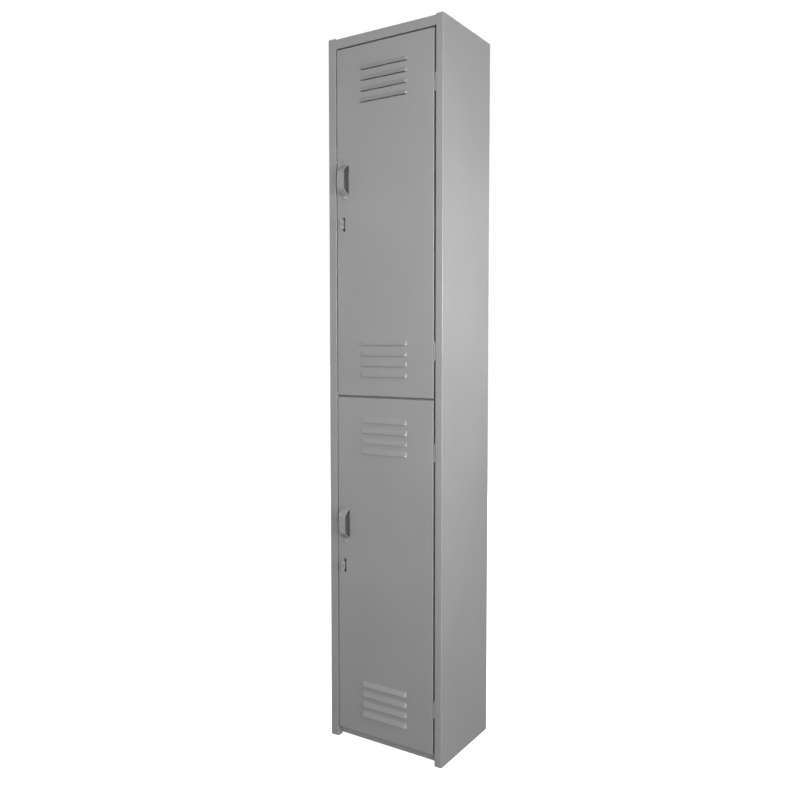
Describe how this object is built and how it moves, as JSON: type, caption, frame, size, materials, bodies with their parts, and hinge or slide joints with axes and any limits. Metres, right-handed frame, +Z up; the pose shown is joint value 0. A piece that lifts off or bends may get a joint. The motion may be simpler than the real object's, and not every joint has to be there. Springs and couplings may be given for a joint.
{
  "type": "steel locker cabinet",
  "caption": "Tall narrow sheet-steel locker cabinet with stacked louvred doors, cup handles, padlock tabs and hinges in the door gap.",
  "frame": {"origin": "on the floor, below the centre of the whole closed object's bounding box, handles included", "axes": "+Z up, the doors face -Y, +X to the right when facing the doors"},
  "size_m": [0.335, 0.266, 1.8],
  "materials": {
    "carcass_paint": "satin powder coat",
    "door_paint": "satin powder coat",
    "hinge_paint": "satin powder coat",
    "painted_rivet": "satin powder coat",
    "zinc_steel": "zinc plated"
  },
  "bodies": {
    "cabinet": {"left_side_panel": "carcass_paint", "right_side_panel": "carcass_paint", "top_panel": "carcass_paint", "back_panel": "carcass_paint", "base_panel": "carcass_paint", "divider_shelf": "carcass_paint", "upper_hasp": "carcass_paint", "lower_hasp": "carcass_paint", "upper_coat_hook": "zinc_steel", "lower_coat_hook": "zinc_steel", "upper_door_top_hinge_frame_leaf": "hinge_paint", "upper_door_top_hinge_pin": "zinc_steel", "upper_door_bottom_hinge_frame_leaf": "hinge_paint", "upper_door_bottom_hinge_pin": "zinc_steel", "lower_door_top_hinge_frame_leaf": "hinge_paint", "lower_door_top_hinge_pin": "zinc_steel", "lower_door_bottom_hinge_frame_leaf": "hinge_paint", "lower_door_bottom_hinge_pin": "zinc_steel"},
    "upper_door": {"upper_door_panel": "door_paint", "upper_handle": "door_paint", "upper_finger_pan": "door_paint", "upper_handle_top_rivet": "painted_rivet", "upper_handle_bottom_rivet": "painted_rivet", "upper_door_top_hinge_door_leaf": "hinge_paint", "upper_door_bottom_hinge_door_leaf": "hinge_paint"},
    "lower_door": {"lower_door_panel": "door_paint", "lower_handle": "door_paint", "lower_finger_pan": "door_paint", "lower_handle_top_rivet": "painted_rivet", "lower_handle_bottom_rivet": "painted_rivet", "lower_door_top_hinge_door_leaf": "hinge_paint", "lower_door_bottom_hinge_door_leaf": "hinge_paint"}
  },
  "joints": [
    {"name": "upper_door_hinge", "type": "hinge", "parent": "cabinet", "child": "upper_door", "pos_m": [0.1452, -0.11, 1.3294], "axis": [0, 0, 1], "range_deg": [0, 110]},
    {"name": "lower_door_hinge", "type": "hinge", "parent": "cabinet", "child": "lower_door", "pos_m": [0.1452, -0.11, 0.455], "axis": [0, 0, 1], "range_deg": [0, 110]}
  ]
}
